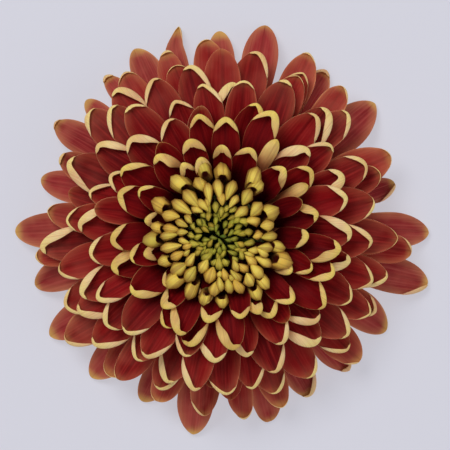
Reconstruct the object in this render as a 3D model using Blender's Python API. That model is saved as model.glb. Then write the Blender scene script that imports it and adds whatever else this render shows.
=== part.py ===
"""Head of a decorative pompon chrysanthemum, picked with a short stub of stem and lying face up.

Metres, +Z up. The origin is on the surface that the head lies on, under the flower's axis.
Every floret lies in one of nine nested layers: layer 0 is the lowest and widest, layer 8 the
innermost and steepest. A layer is a surface turned about +Z, so florets of two layers never meet.
"""

import math

import bmesh
import bpy
import numpy as np
from mathutils import Matrix, Vector

MM = 0.001

# Stem and receptacle. The flare gives stem radii, and millimetres above the stem's own length
STEM_RADIUS = 2.5 * MM
STEM_LENGTH = 4.2 * MM
STEM_FLARE = [(1.0, -2.1), (1.04, 0.0), (1.5, 0.9), (2.4, 1.7)]
RECEPTACLE_RADIUS = 8.6 * MM
RECEPTACLE_RIM = 8.0 * MM
RECEPTACLE_RISE = 12.5 * MM
RIM_INSET = 0.5 * MM
RIM_UNDERSIDE = 1.2 * MM
DOME_STEP = 15
STEM_SEGMENTS = 24

# Nested layers of ray florets: where each starts on the receptacle, and where it ends
FIRST_BASE_ANGLE = 2.0
BASE_ANGLE_STEP = 5.2
BASE_CLEARANCE = 0.4 * MM
LAYER_REACH = [42.5, 40.0, 37.5, 35.5, 33.0, 30.0, 26.5, 22.5, 18.5]
LAYER_TIP_HEIGHT = [0.9, 5.0, 8.8, 12.4, 15.8, 19.0, 22.0, 24.8, 27.2]
LAYER_START_SLOPE = [18, 24, 30, 36, 42, 49, 56, 62, 68]
LAYER_END_SLOPE = [-38, -33, -28, -22, -15, -7, 3, 17, 36]
PROFILE_STEPS = 60
STEPS_PAST_END = 3

# One ray floret: a strap that widens from a narrow claw and is rounded at its tip
FLORET_THICKNESS = 0.36 * MM
CLAW_WIDTH = 1.3 * MM
WIDEST_AT = 0.68
BLUNT_TIP = 0.4
CUP = 0.12
LEAN_ENDS_AT = 0.6
LEAST_CLAW_STEP = 11.5
SPREADING_PASSES = 60
RESTING_TIP_HEIGHT = 0.32 * MM
SAG_STARTS_AT = 0.5
SIDE_GAP = 0.45 * MM
NEIGHBOUR_MARGIN = 0.6 * MM
COLLAR_WIDTH = 0.9 * MM
WIDEST_COLLAR_STEP = 16.0
FLORET_ROWS = [0.0, 0.34, 0.64, 0.9, 1.0]

# Single florets of layers 0 and 1: azimuth of the tip in degrees, reach and width in millimetres
OUTER_FLORETS = [
    (359.6, 41.2, 7.6),
    (15.0, 35.6, 4.8),
    (39.5, 39.6, 8.4),
    (57.0, 38.0, 6.0),
    (78.3, 42.0, 7.4),
    (91.2, 40.0, 5.8),
    (102.5, 41.8, 4.4),
    (115.5, 40.6, 7.0),
    (127.3, 39.0, 5.6),
    (137.2, 38.1, 5.8),
    (148.0, 40.2, 6.8),
    (165.0, 38.2, 6.4),
    (180.5, 42.0, 7.4),
    (195.5, 39.6, 7.4),
    (211.0, 41.0, 7.6),
    (228.5, 39.9, 7.2),
    (245.0, 38.2, 6.4),
    (261.0, 41.6, 7.4),
    (284.0, 39.6, 6.4),
    (297.5, 37.5, 6.8),
    (311.0, 37.7, 6.0),
    (329.0, 38.4, 7.6),
    (345.6, 42.4, 7.6),
]
SECOND_FLORETS = [
    (23.7, 36.4, 8.4),
    (49.8, 37.2, 5.8),
    (63.8, 39.2, 7.0),
    (94.5, 38.2, 6.6),
    (108.5, 37.6, 5.4),
    (123.0, 37.2, 7.2),
    (139.0, 35.8, 7.0),
    (156.0, 35.8, 6.0),
    (174.5, 35.4, 5.8),
    (188.0, 38.0, 5.4),
    (214.5, 38.6, 7.4),
    (232.0, 37.1, 7.0),
    (249.0, 36.8, 6.2),
    (263.2, 37.3, 6.2),
    (275.5, 38.0, 5.4),
    (287.8, 37.3, 6.2),
    (316.0, 37.8, 7.2),
    (331.5, 34.4, 5.8),
    (353.5, 37.7, 6.2),
]

# Whorls of joined florets, from layer 2 inwards: azimuth, reach and width, as above
WHORLS = [
    [
        (20.0, 33.1, 6.6), (41.5, 34.0, 6.0), (63.0, 35.1, 6.0), (80.5, 36.2, 7.2),
        (107.0, 34.2, 6.6), (127.5, 35.4, 6.0), (141.5, 34.0, 6.0), (167.0, 32.0, 5.6),
        (185.5, 36.8, 6.8), (205.0, 35.2, 6.4), (235.5, 36.6, 6.2), (248.0, 34.3, 5.4),
        (271.5, 34.0, 6.0), (287.5, 34.2, 6.0), (300.5, 34.1, 6.6), (316.0, 34.4, 7.0),
        (330.0, 33.6, 6.2), (343.5, 33.9, 5.8), (356.5, 34.7, 6.8),
    ],
    [
        (11.0, 30.4, 7.4), (25.0, 31.2, 6.4), (49.0, 31.6, 7.4), (64.0, 34.0, 7.0),
        (91.0, 35.4, 7.2), (103.0, 33.4, 5.6), (116.0, 33.2, 7.0), (133.0, 33.2, 6.6),
        (156.0, 33.9, 8.0), (175.5, 31.4, 6.4), (193.0, 33.9, 6.6), (209.0, 33.3, 5.8),
        (221.5, 34.6, 7.0), (249.0, 32.4, 6.8), (265.0, 31.5, 6.0), (280.0, 32.1, 6.0),
        (319.0, 32.4, 7.4), (342.0, 31.3, 7.0),
    ],
    [
        (24.5, 26.0, 5.0), (37.5, 27.1, 5.6), (52.5, 29.2, 7.0), (67.5, 32.2, 7.2),
        (87.0, 29.3, 5.6), (98.5, 29.2, 5.6), (110.0, 27.4, 5.0), (127.5, 30.9, 7.2),
        (147.5, 28.4, 5.6), (164.5, 27.7, 4.8), (177.0, 28.9, 6.4), (203.5, 31.2, 6.8),
        (219.0, 30.1, 6.8), (237.0, 31.1, 6.8), (257.5, 32.0, 5.8), (270.5, 32.7, 7.0),
        (291.0, 30.1, 6.8), (308.5, 29.2, 6.4), (331.5, 28.8, 6.4), (355.0, 29.5, 6.8),
    ],
    [
        (16.5, 25.2, 6.6), (44.0, 23.1, 5.6), (82.0, 29.0, 6.0), (101.0, 25.0, 5.4),
        (118.0, 24.4, 6.2), (136.0, 26.0, 6.4), (154.5, 25.0, 4.4), (170.5, 26.0, 5.0),
        (189.5, 27.0, 6.6), (208.5, 28.6, 4.4), (224.0, 28.1, 6.4), (238.5, 29.6, 6.4),
        (252.5, 26.1, 5.0), (265.5, 26.2, 5.6), (281.0, 25.4, 5.4), (297.0, 25.3, 6.2),
        (315.5, 25.9, 6.2), (345.0, 25.7, 4.4), (359.5, 25.2, 6.4),
    ],
    [
        (33.5, 21.0, 5.4), (59.0, 21.5, 4.0), (70.5, 26.0, 5.8), (89.5, 22.2, 5.6),
        (103.5, 23.3, 5.2), (128.0, 21.5, 5.0), (147.5, 23.5, 6.2), (162.0, 22.0, 5.4),
        (184.5, 22.4, 5.0), (200.0, 23.4, 5.4), (215.0, 22.0, 5.8), (238.5, 22.6, 5.0),
        (252.0, 23.9, 4.8), (275.0, 23.6, 5.2), (304.5, 22.0, 4.6), (324.0, 25.0, 6.2),
        (337.5, 23.4, 4.8), (350.0, 23.3, 4.8),
    ],
    [
        (9.5, 18.8, 5.4), (28.0, 18.8, 4.2), (60.0, 20.6, 3.0), (111.0, 19.0, 4.4),
        (132.5, 19.8, 5.0), (156.0, 18.5, 4.6), (195.0, 19.2, 4.6), (232.5, 19.4, 3.6),
        (246.0, 20.6, 4.2), (260.5, 18.4, 3.6), (300.0, 19.6, 4.2), (313.5, 19.6, 4.0),
        (336.0, 19.0, 4.2),
    ],
    [
        (20.0, 16.4, 3.8), (46.0, 17.0, 5.0), (74.0, 16.9, 5.0), (92.5, 17.0, 4.2),
        (119.0, 16.4, 3.6), (148.0, 16.2, 3.8), (172.0, 16.0, 3.6), (199.0, 16.8, 3.6),
        (222.0, 16.4, 3.6), (251.0, 16.6, 3.6), (281.0, 17.6, 4.0), (292.5, 17.6, 2.6),
        (322.0, 16.8, 3.8), (354.5, 16.6, 3.8),
    ],
]

# Bracts under the florets. The outline gives shares of the length and of the width. A row gives
# the count, then radius and height where its profile starts, bends and ends, and the width
BRACT_THICKNESS = 0.4 * MM
BRACT_OUTLINE = [(0.0, 1.0), (0.25, 1.0), (0.7, 0.8), (1.0, 0.2)]
BRACT_ROWS = {
    "outer_bracts": (15, (6.9, 5.6), (9.4, 5.8), (12.0, 7.0), 2.0),
    "inner_bracts": (18, (8.9, 7.35), (11.6, 7.7), (14.6, 8.55), 2.3),
}

# Closed florets of the disc: count, angle of the base on the receptacle's profile,
# tip radius, tip height and thickness of one floret in millimetres. The bud stations give shares
# of its curve, and its thickness there as a share of the full one
DISC_CENTRE = Vector((-0.6 * MM, -1.2 * MM, 0.0))
DISC_ROWS = {
    "disc_florets_rim": (20, 49.5, 13.3, 27.6, 2.5),
    "disc_florets_second": (24, 58.5, 9.9, 28.3, 1.9),
    "disc_florets_third": (20, 67.5, 7.2, 28.2, 1.7),
    "disc_florets_fourth": (14, 75.5, 4.7, 27.6, 1.5),
    "disc_florets_heart": (8, 83.0, 2.2, 26.9, 1.2),
}
DISC_BAND_ANGLE = 6.0
DISC_BASE_GAP = 0.35 * MM
DISC_BASE_THICKNESS = 0.45 * MM
HEART_ANGLE = 85.0
BUD_STATIONS = [(0.72, 1.0), (1.0, 0.62)]
BUD_BELLY = 0.6 * MM
BUD_SAG = 0.4 * MM

SHARP_ANGLE = 50
MERGE_DISTANCE = 0.01 * MM

# Linear colour and roughness of each material
MATERIALS = {
    "outer_face": ((0.30, 0.045, 0.040), 0.55),
    "inner_face": ((0.16, 0.010, 0.014), 0.5),
    "disc_yellow": ((0.62, 0.47, 0.08), 0.5),
    "disc_green": ((0.19, 0.24, 0.03), 0.5),
    "bract_green": ((0.10, 0.17, 0.05), 0.65),
    "stem_green": ((0.16, 0.25, 0.08), 0.6),
}


def start_empty_scene():
    for thing in list(bpy.data.objects):
        bpy.data.objects.remove(thing, do_unlink=True)


def make_material(name):
    colour, roughness = MATERIALS[name]
    material = bpy.data.materials.new(name)
    material.use_nodes = True
    shader = material.node_tree.nodes["Principled BSDF"]
    shader.inputs["Base Color"].default_value = (*colour, 1.0)
    shader.inputs["Roughness"].default_value = roughness
    shader.inputs["Metallic"].default_value = 0.0
    return material


def add_object(name, mesh, material, parent):
    mesh.shade_smooth()
    mesh.set_sharp_from_angle(angle=math.radians(SHARP_ANGLE))
    mesh.materials.append(material)
    part = bpy.data.objects.new(name, mesh)
    part.parent = parent
    bpy.context.collection.objects.link(part)
    return part


def add_wall(part, thickness):
    """Turn a sheet into a solid of this thickness, half on each side of it."""
    wall = part.modifiers.new("wall", "SOLIDIFY")
    wall.thickness = thickness
    wall.offset = 0.0
    wall.use_even_offset = False


def smooth_step(amount):
    """0 below 0 and 1 above 1, with 3t^2 - 2t^3 between them."""
    amount = min(max(amount, 0.0), 1.0)
    return amount * amount * (3.0 - 2.0 * amount)


def receptacle_point(angle, clearance=0.0):
    """Radius and height at an angle up the receptacle's half ellipse, pushed out by a gap."""
    lift = math.radians(angle)
    radius = RECEPTACLE_RADIUS * math.cos(lift)
    height = RECEPTACLE_RIM + RECEPTACLE_RISE * math.sin(lift)
    outward = Vector((math.cos(lift) / RECEPTACLE_RADIUS, math.sin(lift) / RECEPTACLE_RISE))
    outward.normalize()
    return radius + clearance * outward.x, height + clearance * outward.y


def bend(start, corner, end, amount):
    """A point on the curve that leaves start towards corner and arrives at end from it."""
    keep = 1.0 - amount
    return tuple(
        keep * keep * a + 2.0 * amount * keep * b + amount * amount * c
        for a, b, c in zip(start, corner, end)
    )


class Layer:
    """One turned surface that florets lie in, held as a profile of radius and height."""

    def __init__(self, number):
        start = receptacle_point(FIRST_BASE_ANGLE + BASE_ANGLE_STEP * number, BASE_CLEARANCE)
        reach = LAYER_REACH[number] * MM
        height = LAYER_TIP_HEIGHT[number] * MM
        rise = math.radians(LAYER_START_SLOPE[number])
        fall = math.radians(LAYER_END_SLOPE[number])
        across = reach - start[0]
        up = height - start[1]
        run = (across * math.sin(fall) - up * math.cos(fall)) / math.sin(fall - rise)
        corner = (start[0] + run * math.cos(rise), start[1] + run * math.sin(rise))
        shares = [step / PROFILE_STEPS for step in range(PROFILE_STEPS + STEPS_PAST_END + 1)]
        profile = [bend(start, corner, (reach, height), share) for share in shares]
        self.radii = [point[0] for point in profile]
        self.heights = [point[1] for point in profile]
        self.start_radius = start[0]

    def height(self, radius):
        return float(np.interp(radius, self.radii, self.heights))


class Floret:
    """One ray floret as it lies in its layer, seen from above."""

    def __init__(self, tip, reach, width):
        self.base = tip
        self.tip = tip
        self.reach = reach * MM
        self.width = width * MM

    def along(self, radius, start):
        return (radius - start) / (self.reach - start)

    def azimuth(self, along):
        """The middle line turns from the claw's azimuth to the tip's while it is hidden."""
        return self.base + (self.tip - self.base) * smooth_step(along / LEAN_ENDS_AT)

    def half_width(self, along):
        """Half the width at a share of the length: claw, widening, rounded end."""
        claw = CLAW_WIDTH / self.width
        spread = claw + (1.0 - claw) * smooth_step(along / WIDEST_AT)
        past = max(0.0, (along - WIDEST_AT) / (1.0 - WIDEST_AT))
        rounding = max(BLUNT_TIP, math.sqrt(max(0.0, 1.0 - past * past)))
        return 0.5 * self.width * spread * rounding


def arrange_florets(rows):
    """The florets of one layer in order round the head, their claws moved clear of each other."""
    florets = [Floret(*row) for row in sorted(rows)]
    for _ in range(SPREADING_PASSES):
        for index, floret in enumerate(florets):
            before = florets[index - 1]
            lack = LEAST_CLAW_STEP - (floret.base - before.base)
            if index == 0:
                lack -= 360.0
            if lack > 0.0:
                floret.base += 0.5 * lack
                before.base -= 0.5 * lack
    return florets


def half_width_beside(floret, neighbour, radius, start):
    """Half the width of a floret on the side where a neighbour of its own layer leaves room."""
    along = floret.along(radius, start)
    half = floret.half_width(along)
    if radius > neighbour.reach + NEIGHBOUR_MARGIN:
        return half
    other = neighbour.azimuth(min(1.0, neighbour.along(radius, start)))
    between = abs((floret.azimuth(along) - other + 180.0) % 360.0 - 180.0)
    room = radius * math.radians(between) - SIDE_GAP
    return min(half, room * floret.width / (floret.width + neighbour.width))


def floret_rows(layer, florets, index, start, turn=0.0, rest=None):
    """Points of one floret in a layer, row by row from its claw to its tip.

    The edges rise by a share of the half width. With a resting height the outer half sags
    until the tip is at that height.
    """
    floret = florets[index]
    neighbours = {-1: florets[index - 1], 0: floret, 1: florets[(index + 1) % len(florets)]}
    drop = 0.0 if rest is None else layer.height(floret.reach) - rest
    points = []
    for along in FLORET_ROWS:
        radius = start + (floret.reach - start) * along
        azimuth = math.radians(floret.azimuth(along) - turn)
        outward = Vector((math.cos(azimuth), math.sin(azimuth), 0.0))
        sideways = Vector((-math.sin(azimuth), math.cos(azimuth), 0.0))
        sag = drop * smooth_step((along - SAG_STARTS_AT) / (1.0 - SAG_STARTS_AT))
        row = []
        for side, neighbour in neighbours.items():
            half = half_width_beside(floret, neighbour, radius, start) if side else 0.0
            flat = outward * radius + sideways * half * side
            row.append(Vector((flat.x, flat.y, layer.height(flat.length) - sag + CUP * half)))
        points.append(row)
    return points


def add_strip(bm, rows):
    """Faces between rows of vertices, with their upper side outwards."""
    for near, far in zip(rows, rows[1:]):
        for column in range(len(near) - 1):
            bm.faces.new((near[column], far[column], far[column + 1], near[column + 1]))


def finish_mesh(name, bm):
    mesh = bpy.data.meshes.new(name)
    bm.normal_update()
    bm.to_mesh(mesh)
    bm.free()
    return mesh


def make_single_florets(label, number, rows, material, parent):
    """Ray florets in their own objects, each modelled along +X and turned to its azimuth."""
    layer = Layer(number)
    florets = arrange_florets(rows)
    rest = RESTING_TIP_HEIGHT if number == 0 else None
    for index, floret in enumerate(florets):
        name = f"{label}_{index + 1:02d}"
        points = floret_rows(layer, florets, index, layer.start_radius, floret.tip, rest)
        bm = bmesh.new()
        add_strip(bm, [[bm.verts.new(point) for point in row] for row in points])
        part = add_object(name, finish_mesh(name, bm), material, parent)
        part.rotation_euler = (0.0, 0.0, math.radians(floret.tip))
        add_wall(part, FLORET_THICKNESS)


def make_whorl(name, number, rows, material, parent):
    """Florets of one layer, joined at their claws by a narrow collar on the receptacle."""
    layer = Layer(number)
    florets = arrange_florets(rows)
    start = layer.start_radius + COLLAR_WIDTH
    bm = bmesh.new()
    outer = []
    for index, floret in enumerate(florets):
        points = floret_rows(layer, florets, index, start)
        grown = [[bm.verts.new(point) for point in row] for row in points]
        add_strip(bm, grown)
        outer += grown[0]
        gap = (florets[(index + 1) % len(florets)].base - floret.base) % 360.0
        pieces = math.ceil(gap / WIDEST_COLLAR_STEP)
        for piece in range(1, pieces):
            azimuth = math.radians(floret.base + gap * piece / pieces)
            outward = Vector((math.cos(azimuth), math.sin(azimuth), 0.0))
            outer.append(bm.verts.new(outward * start + Vector((0, 0, layer.height(start)))))
    inner = []
    for vertex in outer:
        outward = vertex.co.xy.normalized() * layer.start_radius
        height = vertex.co.z + layer.height(layer.start_radius) - layer.height(start)
        inner.append(bm.verts.new((outward.x, outward.y, height)))
    add_strip(bm, [inner + inner[:1], outer + outer[:1]])
    part = add_object(name, finish_mesh(name, bm), material, parent)
    add_wall(part, FLORET_THICKNESS)


def make_stem(material, parent):
    """Stub of stem that swells into the domed receptacle, turned about +Z."""
    flare = [(STEM_RADIUS * share, STEM_LENGTH + above * MM) for share, above in STEM_FLARE]
    dome = [receptacle_point(angle) for angle in range(0, 90, DOME_STEP)]
    outline = [
        (0.0, 0.0),
        (STEM_RADIUS, 0.0),
        *flare,
        (RECEPTACLE_RADIUS - RIM_INSET, RECEPTACLE_RIM - RIM_UNDERSIDE),
        *dome,
        (0.0, RECEPTACLE_RIM + RECEPTACLE_RISE),
    ]
    bm = bmesh.new()
    profile = [bm.verts.new((radius, 0.0, height)) for radius, height in outline]
    edges = [bm.edges.new(pair) for pair in zip(profile, profile[1:])]
    bmesh.ops.spin(
        bm, geom=profile + edges, cent=(0, 0, 0), axis=(0, 0, 1),
        angle=math.tau, steps=STEM_SEGMENTS, use_merge=True, use_duplicate=False,
    )
    bmesh.ops.remove_doubles(bm, verts=bm.verts, dist=MERGE_DISTANCE)
    bmesh.ops.recalc_face_normals(bm, faces=bm.faces)
    add_object("stem_stub", finish_mesh("stem_stub", bm), material, parent)


def make_bracts(name, material, parent):
    """A ring of narrow green bracts joined at their bases, spreading under the florets."""
    count, start, corner, end, width = BRACT_ROWS[name]
    bm = bmesh.new()
    ring = []
    for index in range(count):
        azimuth = 360.0 * index / count
        turn = Matrix.Rotation(math.radians(azimuth), 3, "Z")
        rows = []
        for along, share in BRACT_OUTLINE:
            radius, height = bend(start, corner, end, along)
            half = 0.5 * width * share
            points = [Vector((radius, side * half, height)) * MM for side in (-1, 1)]
            rows.append([bm.verts.new(turn @ point) for point in points])
        add_strip(bm, rows)
        ring.append(rows)
    for this, following in zip(ring, ring[1:] + ring[:1]):
        bm.faces.new((this[0][1], this[1][1], following[1][0], following[0][0]))
    part = add_object(name, finish_mesh(name, bm), material, parent)
    add_wall(part, BRACT_THICKNESS)


def grow_bud(bm, face, stations):
    """Lengthen one face into a closed floret through its stations: centre, frame and size."""
    for centre, outward, sideways, size in stations:
        grown = bmesh.ops.extrude_face_region(bm, geom=[face])["geom"]
        bmesh.ops.delete(bm, geom=[face], context="FACES")
        face = next(item for item in grown if isinstance(item, bmesh.types.BMFace))
        middle = face.calc_center_median()
        for vertex in face.verts:
            offset = vertex.co - middle
            far = 1.0 if offset.dot(outward) > 0 else -1.0
            right = 1.0 if offset.dot(sideways) > 0 else -1.0
            vertex.co = centre + 0.5 * size * (far * outward + right * sideways)


def make_disc_row(name, material, parent):
    """A ring of closed florets that stand on the receptacle and hook in at their tips."""
    count, angle, tip_radius, tip_height, size = DISC_ROWS[name]
    closed_cap = angle + 0.5 * DISC_BAND_ANGLE > HEART_ANGLE
    low = receptacle_point(angle - 0.5 * DISC_BAND_ANGLE, DISC_BASE_GAP)
    high = receptacle_point(angle + 0.5 * DISC_BAND_ANGLE, DISC_BASE_GAP)
    foot = receptacle_point(angle, DISC_BASE_GAP + DISC_BASE_THICKNESS)
    bm = bmesh.new()
    columns = 2 * count
    rings = []
    for radius, height in (low, high):
        spokes = [math.tau * (index - 0.5) / columns for index in range(columns)]
        for lift in (0.0, DISC_BASE_THICKNESS):
            rings.append([
                bm.verts.new((radius * math.cos(spoke), radius * math.sin(spoke), height + lift))
                for spoke in spokes
            ])
    under_low, top_low, under_high, top_high = rings
    cells = []
    for index in range(columns):
        after = (index + 1) % columns
        cells.append(bm.faces.new((top_low[index], top_low[after], top_high[after], top_high[index])))
        bm.faces.new((under_low[index], under_high[index], under_high[after], under_low[after]))
        bm.faces.new((under_low[index], under_low[after], top_low[after], top_low[index]))
        if not closed_cap:
            bm.faces.new((under_high[index], top_high[index], top_high[after], under_high[after]))
    if closed_cap:
        bm.faces.new(top_high)
        bm.faces.new(list(reversed(under_high)))
    for index in range(count):
        azimuth = math.tau * 2 * index / columns
        outward = Vector((math.cos(azimuth), math.sin(azimuth), 0.0))
        sideways = Vector((-math.sin(azimuth), math.cos(azimuth), 0.0))
        start = outward * foot[0] + Vector((0.0, 0.0, foot[1]))
        end = outward * tip_radius * MM + Vector((0.0, 0.0, tip_height * MM)) + DISC_CENTRE
        corner = end.lerp(start, 0.5) + outward * BUD_BELLY - Vector((0.0, 0.0, BUD_SAG))
        stations = []
        for along, share in BUD_STATIONS:
            centre = Vector(bend(start, corner, end, along))
            stations.append((centre, outward, sideways, size * share * MM))
        grow_bud(bm, cells[2 * index], stations)
    bmesh.ops.recalc_face_normals(bm, faces=bm.faces)
    add_object(name, finish_mesh(name, bm), material, parent)


def main():
    start_empty_scene()
    head = bpy.data.objects.new("flower_head", None)
    bpy.context.collection.objects.link(head)
    make_stem(make_material("stem_green"), head)
    bract_green = make_material("bract_green")
    for name in BRACT_ROWS:
        make_bracts(name, bract_green, head)
    outer_face = make_material("outer_face")
    make_single_florets("outer_floret", 0, OUTER_FLORETS, outer_face, head)
    make_single_florets("second_floret", 1, SECOND_FLORETS, outer_face, head)
    inner_face = make_material("inner_face")
    for index, florets in enumerate(WHORLS):
        make_whorl(f"whorl_{index + 3}", index + 2, florets, inner_face, head)
    yellow = make_material("disc_yellow")
    green = make_material("disc_green")
    for name in DISC_ROWS:
        material = green if name in ("disc_florets_fourth", "disc_florets_heart") else yellow
        make_disc_row(name, material, head)


main()
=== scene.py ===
import math

import bpy
import numpy as np
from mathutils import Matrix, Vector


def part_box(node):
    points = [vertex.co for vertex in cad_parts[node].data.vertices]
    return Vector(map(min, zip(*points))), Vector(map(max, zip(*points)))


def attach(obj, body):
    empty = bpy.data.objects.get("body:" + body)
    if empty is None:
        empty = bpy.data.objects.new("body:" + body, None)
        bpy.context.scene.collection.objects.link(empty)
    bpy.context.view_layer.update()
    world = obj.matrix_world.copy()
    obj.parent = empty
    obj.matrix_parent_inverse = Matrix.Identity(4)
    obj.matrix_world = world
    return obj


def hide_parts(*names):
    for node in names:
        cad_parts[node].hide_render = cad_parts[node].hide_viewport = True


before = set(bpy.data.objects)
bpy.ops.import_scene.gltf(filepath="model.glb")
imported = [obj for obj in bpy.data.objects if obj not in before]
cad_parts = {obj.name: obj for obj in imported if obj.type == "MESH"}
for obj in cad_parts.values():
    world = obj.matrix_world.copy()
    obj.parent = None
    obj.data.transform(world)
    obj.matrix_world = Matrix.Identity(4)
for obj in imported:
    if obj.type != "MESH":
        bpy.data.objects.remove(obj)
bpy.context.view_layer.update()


# The stem, cut short under the head, swells at its top into the receptacle: the green dome that
# every floret grows from. It is one fleshy green piece, faintly ribbed, with a paler cut end.

MM = 0.001
STEM_RADIUS = 2.5 * MM
STEM_LENGTH = 4.2 * MM
CUT_EDGE = 0.5 * MM
PITH_DEPTH = 0.35 * MM
_, stem_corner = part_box("stem_stub")
RECEPTACLE_RADIUS = stem_corner.x
RECEPTACLE_RIM = 8.0 * MM
RECEPTACLE_RISE = stem_corner.z - RECEPTACLE_RIM
FLARE_RINGS = 7
DOME_RINGS = 14
STEM_AROUND = 72
STEM_RIBS = 8
STEM_RIB_SHARE = 0.025
STEM_SKIN = (96, 122, 52)
STEM_STREAK = (132, 150, 84)
STEM_PITH = (206, 208, 160)


def linear(colour):
    """A colour as a screen shows it, 0 to 255, as the linear values that a shader takes."""
    share = np.array(colour, float) / 255.0
    values = np.where(share <= 0.04045, share / 12.92, ((share + 0.055) / 1.055) ** 2.4)
    return (*values.tolist(), 1.0)


def smooth(amount, low=0.0, high=1.0):
    """0 below low and 1 above high, with 3t^2 - 2t^3 between them."""
    t = np.clip((amount - low) / (high - low), 0.0, 1.0)
    return t * t * (3.0 - 2.0 * t)


class Wire:
    """One socket of a material's nodes, which adds, scales and mixes as an expression does."""

    def __init__(self, tree, socket=None):
        self.tree = tree
        self.socket = socket

    def node(self, kind, settings=None, inputs=None, output=0):
        """A node of a type: its settings are made first, then its sockets are set or linked."""
        made = self.tree.nodes.new(kind)
        for name, value in (settings or {}).items():
            setattr(made, name, value)
        for key, value in (inputs or {}).items():
            if isinstance(value, Wire):
                self.tree.links.new(value.socket, made.inputs[key])
            else:
                made.inputs[key].default_value = value
        return Wire(self.tree, made.outputs[output])

    def math(self, operation, *values):
        """A Math node on wires and numbers."""
        return self.node("ShaderNodeMath", {"operation": operation}, dict(enumerate(values)))

    def __add__(self, other):
        return self.math("ADD", self, other)

    def __sub__(self, other):
        return self.math("SUBTRACT", self, other)

    def __rsub__(self, other):
        return self.math("SUBTRACT", other, self)

    def __mul__(self, other):
        return self.math("MULTIPLY", self, other)

    __radd__ = __add__
    __rmul__ = __mul__

    def absolute(self):
        """The number without its sign."""
        return self.math("ABSOLUTE", self)

    def rise(self, low, high):
        """0 below low and 1 above high, eased between them."""
        settings = {"interpolation_type": "SMOOTHSTEP"}
        return self.node("ShaderNodeMapRange", settings, {0: self, 1: low, 2: high})

    def mix(self, first, second):
        """This share of the way from the first colour to the second."""
        settings = {"data_type": "RGBA", "blend_type": "MIX"}
        return self.node("ShaderNodeMix", settings, {0: self, 6: first, 7: second}, 2)

    def place(self):
        """Object coordinates."""
        return self.node("ShaderNodeTexCoord", output="Object")

    def read(self, name, output):
        """An attribute of the mesh: its Vector, or its Fac where it is one number."""
        return self.node("ShaderNodeAttribute", {"attribute_name": name}, output=output)

    def part(self, axis):
        """One number, 0 to 2, of a vector."""
        return self.node("ShaderNodeSeparateXYZ", None, {0: self}, axis)

    def stretched(self, scale):
        """A vector with each of its numbers multiplied."""
        return self.node("ShaderNodeVectorMath", {"operation": "MULTIPLY"}, {0: self, 1: scale})

    def length(self):
        """The length of a vector."""
        return self.node("ShaderNodeVectorMath", {"operation": "LENGTH"}, {0: self}, "Value")

    def noise(self, scale, detail=2.0):
        """Soft noise of about 0 to 1 on this vector."""
        inputs = {"Vector": self, "Scale": scale, "Detail": detail}
        return self.node("ShaderNodeTexNoise", None, inputs)


def new_material(name, constants):
    """A material, its shader and a wire to start expressions from. Constants go on the shader."""
    material = bpy.data.materials.new(name)
    material.use_nodes = True
    shader = material.node_tree.nodes["Principled BSDF"]
    for socket, value in constants.items():
        shader.inputs[socket].default_value = value
    return material, shader, Wire(material.node_tree)


def feed(shader, colour, roughness, height, strength, distance):
    """Links a colour, a roughness and a relief, as a bump, to a shader."""
    links = {"Base Color": colour, "Roughness": roughness}
    links["Normal"] = height.node(
        "ShaderNodeBump", None, {"Strength": strength, "Distance": distance, "Height": height},
    )
    for socket, wire in links.items():
        colour.tree.links.new(wire.socket, shader.inputs[socket])


def joined(surfaces):
    """Several surfaces as one set of arrays, without the points that no face uses.

    A surface is its points, its faces of four corners, and its values, which map an attribute's
    name to one number or vector for each point. A face with a corner twice becomes a triangle.
    """
    points, faces, values, offset = [], [], {}, 0
    for surface_points, surface_faces, surface_values in surfaces:
        points.append(surface_points)
        faces.append(surface_faces + offset)
        for label, numbers in surface_values.items():
            values.setdefault(label, []).append(numbers)
        offset += len(surface_points)
    points, faces = np.concatenate(points), np.concatenate(faces)
    used, flat = np.unique(faces, return_inverse=True)
    faces = flat.reshape(faces.shape)
    values = {label: np.concatenate(numbers)[used] for label, numbers in values.items()}
    return points[used], [list(dict.fromkeys(face)) for face in faces.tolist()], values


def add_piece(name, surfaces, material, nodes):
    """A mesh object at the origin, from surfaces, that stands for nodes of the frame."""
    points, faces, values = joined(surfaces)
    mesh = bpy.data.meshes.new(name)
    mesh.from_pydata(points.tolist(), [], faces)
    for label, numbers in values.items():
        kind, key = ("FLOAT", "value") if numbers.ndim == 1 else ("FLOAT_VECTOR", "vector")
        field = mesh.attributes.new(label, kind, "POINT")
        field.data.foreach_set(key, numbers.astype(np.float32).ravel())
    mesh.shade_smooth()
    mesh.materials.append(material)
    piece = bpy.data.objects.new(name, mesh)
    bpy.context.scene.collection.objects.link(piece)
    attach(piece, "root")
    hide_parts(*nodes)


def tube_faces(rings, around):
    """Faces of a tube of rings, with a fan to the last but one point and one to the last.

    Every face has four corners, and one of a fan has its last corner twice.
    """
    here = np.arange(around)
    after = (here + 1) % around
    start = np.arange(rings - 1)[:, None] * around
    walls = np.stack(
        [start + here, start + after, start + around + after, start + around + here], axis=-1,
    )
    last = (rings - 1) * around
    end = np.full(around, last + around)
    first_fan = np.stack([end, after, here, here], axis=-1)
    last_fan = np.stack([end + 1, last + here, last + after, last + after], axis=-1)
    return np.concatenate([walls.reshape(-1, 4), first_fan, last_fan])


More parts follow.
